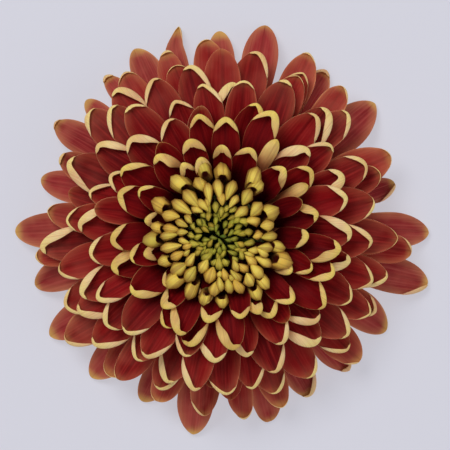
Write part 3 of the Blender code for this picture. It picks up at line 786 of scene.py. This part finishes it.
# Each floret: azimuth, reach, width, folds left, right and at the tip, and its rolled share
WHORLS = {
    "whorl_3": [
        (20, 33.1, 6.8, 0.2, 0.2), (43, 34, 6.4, 0.8), (63.5, 35.1, 6.4, 0.3, 0.3),
        (80.5, 36.2, 7.4, 1), (107, 34.2, 6.8, 0.2, 0.2), (127.5, 35.4, 6.4, 1.4),
        (139.5, 35.8, 7, 0, 0.6), (167, 32, 6), (185.5, 36.8, 6.8, 1.9), (206, 35.2, 7, 0.6, 0.6),
        (235.5, 36.6, 6.4, 0.2), (247.5, 34.3, 5.8, 0, 0.7), (271.5, 34, 6),
        (287.5, 34.2, 6.4, 0, 0.6), (300, 34.1, 7.2, 0, 0.6), (316, 34.4, 7, 0.8),
        (329.5, 33.6, 6.6, 0.3, 0.3), (343.5, 33.9, 6.4, 0.8), (356.5, 34.7, 7.2, 0.2, 0.2),
    ],
    "whorl_4": [
        (11.5, 30.4, 8.2, 0.5), (25, 31.2, 7, 0.4, 0.8), (49, 31.6, 7.4, 1.6),
        (64, 34, 7.2, 0.2, 0.2), (90.5, 36.2, 7.4), (102.5, 33.4, 6.8, 1.2),
        (116, 33.2, 7, 0, 0.8), (133, 33.2, 6.8, 0, 0.9), (156, 33.9, 8.2, 0, 1.6),
        (175.5, 31.4, 6.6, 0.4, 0.4), (193, 33.9, 6.8, 0, 0.6), (209.5, 33.3, 6.8, 0, 1.4),
        (221.5, 34.6, 7.2, 0, 1.2), (249, 32.4, 7, 1.2), (265, 31.5, 6), (280, 32.1, 6.4, 0, 0.8),
        (319, 32.4, 7.4, 0, 0.9), (342, 31.3, 7.2, 0.5, 0.5),
    ],
    "whorl_5": [
        (24.5, 26, 5, 1.9, 0.4), (37.5, 27.1, 6, 0, 0.8), (52, 29.2, 7.4, 1),
        (67.5, 32.2, 7.4, 0, 0, 0.6), (87.5, 29.3, 6, 0, 1.6), (98, 29.2, 6, 0.8),
        (110, 27.4, 5.8, 0.6, 0.6), (127.5, 30.9, 7.4, 0.2, 0, 0.6), (147, 30.3, 6.4, 1.6),
        (164.5, 27.7, 5, 0.8), (177, 28.9, 7.2, 1.6), (203.5, 31.2, 7, 1.4),
        (219.5, 30.1, 7.2, 1, 0.2), (237, 31.1, 7, 0.8), (258.5, 32.4, 6.2, 1.2),
        (270, 32.7, 7.4, 0.6, 0.3), (290.5, 30.1, 7, 0, 1), (308.5, 29.2, 6.8, 2),
        (332, 28.8, 6.6, 0.3, 0.4), (355, 29.5, 7, 0, 1),
    ],
    "whorl_6": [
        (16, 25.2, 7, 0.6, 1, 0.8), (45, 23.1, 5.8, 0, 2), (82.5, 29.8, 6.2, 0.2, 0.2, 0.4),
        (102, 25, 5.4), (117.5, 24.4, 6.6, 0, 0.8), (135.5, 26, 7, 1.6, 0.3),
        (155, 25, 4.8, 0.6, 0.6), (170.5, 26, 5.4), (189.5, 27, 7, 0.8, 0.4),
        (208.5, 28.6, 4.6, 0.6, 1), (225, 28.1, 7.2, 0, 0.8), (238, 29.6, 7, 0, 1),
        (252.5, 26.1, 5.8, 0.8), (265, 26.2, 6.2, 1.4, 0.4), (281, 25.4, 5.6, 1.4),
        (297, 25.3, 6.4, 0, 1), (315, 25.9, 7, 1.6), (345.5, 25.7, 4.6, 1.7),
        (359, 25.2, 7, 0, 1.8),
    ],
    "whorl_7": [
        (33.5, 21, 5.6, 0.8, 0.8), (76.5, 25.8, 6, 1), (68.5, 25.3, 5.8, 1.6, 0.8),
        (89.5, 22.2, 5.6, 1, 1), (103.5, 23.3, 5.6, 1.2, 0.6), (128, 21.5, 5),
        (148, 23.5, 6.8, 1.2), (162, 22, 6, 1, 1), (185, 22.4, 5.4, 1.2, 0.8), (200, 23.4, 6, 2.2),
        (214.5, 22, 6.4, 0, 1.6), (239, 22.4, 5, 0.6), (252.5, 23.9, 5.2, 0, 1.6),
        (274.5, 23.6, 5.4, 2), (304.5, 22, 4.8), (324, 25, 6.8, 0, 1), (337, 23.4, 5.6, 1.4, 0.2),
        (349.5, 23.3, 5.4, 2, 0.2),
    ],
    "whorl_8": [
        (9.5, 18.8, 5.8, 0, 1.8), (28.5, 18.9, 2.6, 0, 0, 0, 2), (59.5, 20.8, 3, 0, 0, 0, 2),
        (111, 19, 4.6, 1.4, 0.8, 1.6, 0.62), (132.5, 19.8, 5.4, 2.2), (156, 18.5, 4.8, 0.8),
        (196, 19.2, 5, 0.8), (232.5, 19.4, 3.8, 1.4, 0.4, 1.6, 0.62), (245.5, 22.4, 5.4, 1.8),
        (260.5, 18.4, 4.2, 1.2, 1.2, 1.4), (300, 19.6, 4.4, 1, 1), (313, 19.6, 4.4, 1, 1),
        (336, 19, 4.4, 0.8),
    ],
    "whorl_9": [
        (20, 16.4, 3.8), (45.5, 17, 5.4, 1.6, 0.6), (73.5, 16.9, 5.4, 1, 1),
        (92.5, 16.6, 3.6, 1, 1, 1.4, 0.55), (109, 14.9, 3, 1.1, 1.1), (122.5, 15.4, 3, 1, 1, 1.2),
        (172, 15.6, 3.2, 0.9, 0.9, 1.2), (198, 16.4, 3.2, 1.2, 0.6, 1.5, 0.55),
        (222, 16, 3.8, 0.6), (255, 14.8, 2.8, 1, 1), (281.5, 17.6, 4.4, 0.8, 0.8),
        (292.5, 17.8, 3, 1.6, 0.4, 1.8), (328, 15.6, 3.4, 1.3, 0.4, 1.6),
        (354.5, 16.6, 4.2, 1, 0.4, 1.2, 0.5),
    ],
}
CUP_OF_WHORL = {3: 24, 4: 25, 5: 27, 6: 29, 7: 32, 8: 35, 9: 38}
INNER_TIP_SHARE = 0.92
FIRST_WHORL = 3
FIRST_DEEP_WHORL = 7
INNER_START = 9.4 * MM
START_STEP = 0.38 * MM

middle_finish = floret_material(
    "middle_floret_red",
    face=[(64, 1, 6), (142, 16, 20), (176, 48, 42)],
    reverse=[(210, 132, 98), (255, 222, 162), (255, 226, 142)],
    edge=(214, 118, 84), edge_share=0.6, tip_share=0.15,
)
# The deepest whorls are darker, partly their own burgundy and partly painted shade near the disc
inner_finish = floret_material(
    "inner_floret_red",
    face=[(74, 3, 10), (118, 7, 13), (154, 28, 26)],
    reverse=[(176, 104, 68), (248, 210, 128), (252, 222, 112)],
    edge=(186, 74, 52), edge_share=0.35, tip_share=0.1,
)
for number, cup in CUP_OF_WHORL.items():
    node = f"whorl_{number}"
    profile = profile_of(node)
    start = INNER_START - START_STEP * (number - FIRST_WHORL)
    florets = sorted((Floret(*row) for row in WHORLS[node]), key=lambda floret: -floret.reach)
    sheets = [floret_sheet(floret, profile, start, cup, INNER_TIP_SHARE) for floret in florets]
    finish = middle_finish if number < FIRST_DEEP_WHORL else inner_finish
    add_piece(f"floret_{node}", sheets, finish, [node])


# The disc is crowded with closed florets, still rolled up and hooked in over the middle. They are
# smooth and waxy, full yellow at the rim of the disc, and greener and smaller towards its heart.

DISC_CENTRE = np.array([-0.6, -1.2]) * MM
DISC_RADIUS = 15.0 * MM
BUD_AROUND = 9
BUD_KEEL = 0.17
BUD_DEPTH = 0.85
BUD_LENGTHENED = 1.24
# The middle line's bend, the point under it and its tip, in widths, and its droop, in lengths
BEND_SET_BACK = 0.2
LEAST_BEND = 0.3
BEND_BELOW_TOP = 0.12
UNDER_SET_BACK = 0.1
UNDER_BELOW_TOP = 2.4
TIP_BELOW_TOP = 0.3
TIP_DROOP = (0.05, 0.25)
FOOT_SUNK = 0.6 * MM
FOOT_ROUNDED = 0.1 * MM
TIP_ROUNDED = 0.05 * MM
# The rings' places on the middle line, their half widths, and how the mouth of a hood is cut
BUD_STATIONS = np.array([0.0, 0.2, 0.38, 0.5, 0.6, 0.69, 0.78, 0.87, 0.94, 0.985, 1.0])
BUD_SWELL = np.array([0.3, 0.4, 0.54, 0.72, 0.88, 1.0, 0.98, 0.82, 0.56, 0.26, 0.1])
HOOD_SWELL = np.array([0.3, 0.4, 0.54, 0.72, 0.88, 1.0, 1.04, 1.02, 0.96, 0.88, 0.8])
HOOD_CUT = np.array([0.0, 0.0, 0.0, 0.0, 0.0, 0.0, 0.1, 0.3, 0.6, 0.85, 1.0])
HOOD_DEPTH = 0.56
BUD_WARM = (226, 158, 58)
BUD_OLIVE = (176, 168, 60)
# Closed florets seen from above, about the disc's centre: azimuth, radius, width and length
DISC_FLORETS = {
    "disc_florets_rim": [
        (62, 13.4, 3, 3.8), (53, 12.2, 2.6, 2.4), (89.5, 12.8, 3.1, 3), (105, 14, 2.7, 3.2),
        (129.5, 13.4, 3.4, 3.4), (152, 13.6, 3.1, 3.2), (183.5, 13.7, 3.2, 3.2),
        (223, 12.8, 3, 3.8), (242, 12.3, 2.5, 3.6), (255, 12.8, 2.4, 2.4), (271.5, 13, 2.5, 2),
        (301, 13.3, 2.6, 2.6), (312, 12.5, 2.4, 2.8), (338.5, 13.1, 3.6, 3.4),
        (348.5, 11.5, 2.4, 2.6), (25, 10.8, 3.4, 3), (171.5, 12.8, 2.2, 2.2),
        (203, 12.2, 2.4, 2.4),
    ],
    "disc_florets_second": [
        (0.5, 9.6, 2.1, 2.8), (12.5, 9.4, 2.4, 2.2), (39, 8.8, 2.5, 2.8), (57.5, 9.3, 2.4, 3),
        (76.5, 9.4, 2.2, 3.6), (94, 9.4, 2.1, 3.6), (104.5, 9.1, 1.9, 3.6), (113, 11, 2.6, 2.8),
        (129, 9.6, 2.6, 3.8), (144, 9.8, 2.4, 4), (159.5, 10.8, 2.4, 3), (171.5, 10.1, 2, 3),
        (180.5, 10.4, 2, 3.2), (192, 10.3, 2, 3.8), (204, 9.5, 2, 2.6), (217, 10.6, 2.8, 3),
        (232, 9.7, 2.5, 3), (262.5, 10.5, 2.4, 2.6), (270, 9.6, 1.7, 2.6), (279.5, 10, 2.1, 2.8),
        (290.5, 10.6, 2.1, 2.8), (301.5, 10.3, 2.4, 2.3), (314.5, 10, 2.4, 3.2),
        (329.5, 9.9, 2, 3.4), (337, 8.9, 1.7, 2.3), (346.5, 9.1, 2.1, 2.6),
    ],
    "disc_florets_third": [
        (3, 7.3, 1.7, 1.6), (22, 7.1, 2, 2.4), (47.5, 6.3, 1.9, 2.8), (67.5, 7.4, 1.4, 2.6),
        (89.5, 7.4, 1.7, 2.2), (122, 7.2, 1.6, 2.6), (135.5, 7.1, 1.6, 2), (149.5, 7.3, 1.5, 1.8),
        (161, 8.3, 1.4, 2.4), (175, 7.8, 1.4, 2), (185, 7.5, 1.3, 1.9), (207.5, 7.6, 1.1, 1.4),
        (220.5, 7.7, 1.8, 2.6), (240.5, 6.9, 2, 2.6), (254.5, 8, 2.4, 2.8), (267.5, 7.6, 1.2, 1.2),
        (277, 7.8, 1.6, 2.3), (285, 8.6, 1, 1.2), (293.5, 8.5, 1.7, 2.6), (307, 7.7, 1.8, 2.3),
        (320.5, 7.7, 1.7, 2.6), (295, 6.6, 1.4, 2.2), (329, 6.7, 1.3, 1.8), (338.5, 7.1, 1.5, 1.8),
        (197, 7, 1.3, 1.8), (108, 7.4, 1.3, 2),
    ],
    "disc_florets_fourth": [
        (349.5, 5.8, 1.3, 2.1), (7, 5.5, 1.4, 1.6), (29, 5.4, 1.6, 1.5), (62, 5.8, 1.3, 1.4),
        (77, 5.6, 1.1, 1.3), (88, 4.9, 1.2, 1.8), (99, 5.9, 1.3, 2), (113, 6.2, 1.3, 2.6),
        (118.5, 4.6, 1.2, 1.3), (131, 5.4, 1.1, 1.2), (145.5, 5.1, 1.1, 1.2),
        (157.5, 5.9, 1.1, 1.2), (165.5, 4.7, 1.1, 1.5), (176.5, 5.9, 1.2, 1.4),
        (193, 5.7, 1.4, 1.9), (208, 4.9, 1, 1.2), (216, 5.6, 1, 1.8), (232, 5, 1.5, 2.1),
        (253.5, 5.4, 1.1, 1.2), (267, 5.6, 1.6, 2.3), (282, 5.3, 1.4, 1.3), (302, 5.4, 1.1, 1.2),
        (314, 5.6, 1.2, 1.6), (330, 5.2, 1.1, 1.3), (337, 4.3, 1.1, 1.4), (185, 4.6, 1.1, 1.4),
        (44, 4.5, 1.2, 1.4),
    ],
}
# The heart is spread by the golden angle. Widths and lengths grow with each millimetre outwards
HEART_FLORETS = 42
HEART_RADIUS = 4.8
HEART_WIDTH = (0.68, 0.1)
HEART_LENGTH = (1.0, 0.2)
HEART_SWAY = 14.0
GOLDEN_TURN = 137.508
# Each ring's angle up the receptacle, its height, how much its florets are widened, and the stray
DISC_SHAPES = {
    "disc_florets_rim": (49.5, 27.6, 1.02, 0.28),
    "disc_florets_second": (58.5, 28.3, 1.06, 0.3),
    "disc_florets_third": (67.5, 27.8, 1.16, 0.5),
    "disc_florets_fourth": (76.0, 26.9, 1.2, 0.6),
    "disc_florets_heart": (84.0, 25.6, 1.2, 0.7),
}
BUD_UNEVEN = 0.45


def bud_surface(azimuth, radius, width, length, base_angle, top, hooded, stray):
    """One closed floret: a tube on a curve that climbs, bends over and runs in to a point.

    The middle line is the quartic curve of its foot on the receptacle, a point straight under
    the bend, the bend itself taken twice, and the tip. The tube's half width is read from
    BUD_SWELL: a thin foot, full behind the bend, then tapering to the tip. Its section is a
    rounded triangle, of radius 1 + k cos 3(a + 90 degrees), with one corner as a keel on top.
    A hooded one stays wide and is cut off aslant, so that its mouth shows from above: its rings
    are set back on top and forward below, and its last point lies inside, at the mouth's bottom.
    stray is the share of its width by which the tip may lie off the line to the middle.
    """
    turn = math.radians(azimuth)
    outward = np.array([math.cos(turn), math.sin(turn), 0.0])
    sideways = np.array([-math.sin(turn), math.cos(turn), 0.0])

    def at(distance, height):
        """The point this far out from the disc's centre, at a height."""
        return np.array([*DISC_CENTRE, height]) + outward * distance

    lift = math.radians(base_angle)
    foot = at(
        RECEPTACLE_RADIUS * math.cos(lift) - FOOT_SUNK,
        RECEPTACLE_RIM + RECEPTACLE_RISE * math.sin(lift),
    )
    length = BUD_LENGTHENED * length
    tip_radius = radius - 0.5 * length
    bend_radius = radius + 0.5 * length - BEND_SET_BACK * width
    bend_radius = max(bend_radius, tip_radius + LEAST_BEND * width)
    bend = at(bend_radius, top - BEND_BELOW_TOP * width)
    under = at(bend_radius - UNDER_SET_BACK * width, top - UNDER_BELOW_TOP * width)
    tip = at(tip_radius, top - TIP_BELOW_TOP * width - random.uniform(*TIP_DROOP) * length)
    tip = tip + random.uniform(-stray, stray) * width * sideways
    s = BUD_STATIONS[:, None]
    points = [foot, under, bend, bend, tip]
    line = sum(math.comb(4, k) * s ** k * (1.0 - s) ** (4 - k) * points[k] for k in range(5))
    forward = np.gradient(line, axis=0)
    forward /= np.linalg.norm(forward, axis=1, keepdims=True)
    back = np.cross(forward, sideways)
    half = 0.5 * width * (HOOD_SWELL if hooded else BUD_SWELL)[:, None]
    angle = np.linspace(0.0, math.tau, BUD_AROUND, endpoint=False)[None, :]
    keel = 1.0 + BUD_KEEL * np.cos(3.0 * (angle + 0.5 * math.pi))
    across = half * np.cos(angle) * keel
    deep = BUD_DEPTH * half * np.sin(angle) * keel
    rings = line[:, None, :] + across[..., None] * sideways + deep[..., None] * back[:, None, :]
    last = TIP_ROUNDED
    if hooded:
        aslant = HOOD_DEPTH * width * HOOD_CUT[:, None] * np.sin(angle)
        rings = rings + aslant[..., None] * forward[:, None, :]
        last = -HOOD_DEPTH * width
    ends = np.stack([line[0] - FOOT_ROUNDED * forward[0], line[-1] + last * forward[-1]])
    points = np.concatenate([rings.reshape(-1, 3), ends])
    lengthwise = np.repeat(BUD_STATIONS, BUD_AROUND)
    lengthwise = np.concatenate([lengthwise, [0.0, 0.0 if hooded else 1.0]])
    around = np.concatenate([np.tile(angle[0], len(BUD_STATIONS)), [0.0, 0.0]])
    far = np.full(len(points), radius / DISC_RADIUS)
    own = np.full(len(points), random.uniform())
    return points, tube_faces(len(BUD_STATIONS), BUD_AROUND), {
        "bud": np.stack([far, lengthwise, -np.sin(around)], axis=-1),
        "skin": np.stack([np.cos(around), np.sin(around), own], axis=-1),
    }


def bud_material(name, rim, middle, heart, shade, foot):
    """Waxy skin, yellow turning green towards the heart, with painted shade in tan on its flanks
    and back and dark at its foot, over some tan and reddish colour of its own.
    """
    material, shader, base = new_material(name, {
        "Subsurface Weight": 0.06, "Subsurface Scale": 0.5 * MM, "Specular IOR Level": 0.2,
    })
    bud = base.read("bud", "Vector")
    skin = base.read("skin", "Vector")
    lengthwise, own = bud.part(1), skin.part(2)
    spots = base.place().noise(420.0, 3.0)
    streaks = skin.stretched((2.4, 2.4, 60.0)).noise(1.0)

    # Green at the heart and yellow at the rim, and each floret a little warmer or more olive
    far = bud.part(0) + 0.16 * (spots - 0.5)
    colour = far.rise(0.02, 0.24).mix(linear(heart), linear(middle))
    colour = far.rise(0.2, 0.5).mix(colour, linear(rim))
    colour = (0.4 * own.rise(0.6, 1.0)).mix(colour, linear(BUD_WARM))
    colour = (0.45 * (1.0 - own.rise(0.0, 0.5))).mix(colour, linear(BUD_OLIVE))

    # Painted shade in tan along the grooves between streaks, on the flanks that face away from the
    # light and behind the bend where neighbours shadow it, partly over the floret's own tan; and
    # dark painted shade down at the crowded foot, partly its own reddish base
    colour = (0.55 * streaks.rise(0.45, 0.7)).mix(colour, linear(shade))
    flank = (1.0 - bud.part(2).rise(-0.1, 0.98)) * (0.5 + 0.6 * spots)
    colour = flank.mix(colour, linear(shade))
    colour = (0.85 * (1.0 - lengthwise.rise(0.6, 0.84))).mix(colour, linear(shade))
    colour = (1.0 - lengthwise.rise(0.42, 0.66)).mix(colour, linear(foot))
    relief = 0.6 * streaks + 0.4 * spots
    feed(shader, colour, 0.4 + 0.2 * streaks, relief, strength=0.6, distance=0.4 * MM)
    return material


# In both finishes shade and foot are the colours of painted shade, partly the florets' own tan and
# reddish base
bud_finish = bud_material(
    "disc_yellow", rim=(252, 222, 96), middle=(216, 200, 68), heart=(130, 140, 42),
    shade=(150, 96, 46), foot=(84, 22, 16),
)
heart_finish = bud_material(
    "disc_green", rim=(226, 200, 78), middle=(190, 184, 56), heart=(92, 124, 36),
    shade=(104, 92, 34), foot=(50, 62, 22),
)
heart_numbers = np.arange(HEART_FLORETS)
heart_radii = HEART_RADIUS * np.sqrt((heart_numbers + 0.4) / HEART_FLORETS)
heart_turns = heart_numbers * GOLDEN_TURN + random.uniform(-HEART_SWAY, HEART_SWAY, HEART_FLORETS)
heart_widths = HEART_WIDTH[0] + HEART_WIDTH[1] * heart_radii
heart_lengths = HEART_LENGTH[0] + HEART_LENGTH[1] * heart_radii
DISC_FLORETS["disc_florets_heart"] = zip(heart_turns, heart_radii, heart_widths, heart_lengths)
for node, (base_angle, top, widened, stray) in DISC_SHAPES.items():
    hooded = node == "disc_florets_rim"
    buds = []
    for azimuth, radius, width, length in DISC_FLORETS[node]:
        height = (top + random.uniform(-BUD_UNEVEN, BUD_UNEVEN)) * MM
        width = widened * width * MM
        buds.append(bud_surface(
            azimuth, radius * MM, width, length * MM, base_angle, height, hooded, stray,
        ))
    green = node in ("disc_florets_fourth", "disc_florets_heart")
    add_piece(
        node.replace("disc_florets", "closed_florets"), buds,
        heart_finish if green else bud_finish,
        [node],
    )


# The stage is a wide pale grey floor, soft light from a large panel overhead, and a long lens
# straight above the head, as the photograph was taken.

FLOOR_COLOUR = (212, 212, 222)
FLOOR_SIZE = 3.0
FLOOR_SHADE = 0.42
FLOOR_GLOW = 0.65
WALL_COLOUR = (198, 198, 208)
CEILING_COLOUR = (132, 132, 138)
# Where each lamp hangs, how wide it is, and its power
LAMPS = {
    "panel_light": ((-0.3, 0.4, 0.9), 0.45, 5.0),
    "fill_light": ((0.5, -0.3, 0.7), 0.7, 1.4),
}
CAMERA_HEIGHT = 1262.0 * MM
LENS = 500.0
FARTHEST_SEEN = 10.0
PICTURE_CENTRE = (0.2 * MM, 1.0 * MM)

floor_mesh = bpy.data.meshes.new("floor")
side = 0.5 * FLOOR_SIZE
floor_corners = [(-side, -side, 0.0), (side, -side, 0.0), (side, side, 0.0), (-side, side, 0.0)]
floor_mesh.from_pydata(floor_corners, [], [(0, 1, 2, 3)])
pale = linear(FLOOR_COLOUR)
floor_finish, _, _ = new_material("floor_paper", {
    "Roughness": 0.9,
    "Base Color": (*(FLOOR_SHADE * part for part in pale[:3]), 1.0),
    "Emission Color": pale,
    "Emission Strength": FLOOR_GLOW,
})
floor_mesh.materials.append(floor_finish)
floor = bpy.data.objects.new("floor", floor_mesh)
bpy.context.scene.collection.objects.link(floor)

world = bpy.data.worlds.new("soft_room")
world.use_nodes = True
sky = Wire(world.node_tree)
height = sky.node("ShaderNodeTexCoord", output="Generated").part(2)
room = height.rise(0.02, 0.6).mix(linear(WALL_COLOUR), linear(CEILING_COLOUR))
world.node_tree.links.new(room.socket, world.node_tree.nodes["Background"].inputs["Color"])
bpy.context.scene.world = world
bpy.context.scene.view_settings.view_transform = "Standard"

for label, (place, size, power) in LAMPS.items():
    lamp_data = bpy.data.lights.new(label, "AREA")
    lamp_data.size = size
    lamp_data.energy = power
    lamp = bpy.data.objects.new(label, lamp_data)
    lamp.location = place
    direction = -lamp.location.normalized()
    lamp.rotation_euler = direction.to_track_quat("-Z", "Y").to_euler()
    bpy.context.scene.collection.objects.link(lamp)

camera_data = bpy.data.cameras.new("camera")
camera_data.lens = LENS
camera_data.clip_end = FARTHEST_SEEN
camera = bpy.data.objects.new("camera", camera_data)
camera.location = (*PICTURE_CENTRE, CAMERA_HEIGHT)
bpy.context.scene.collection.objects.link(camera)
bpy.context.scene.camera = camera
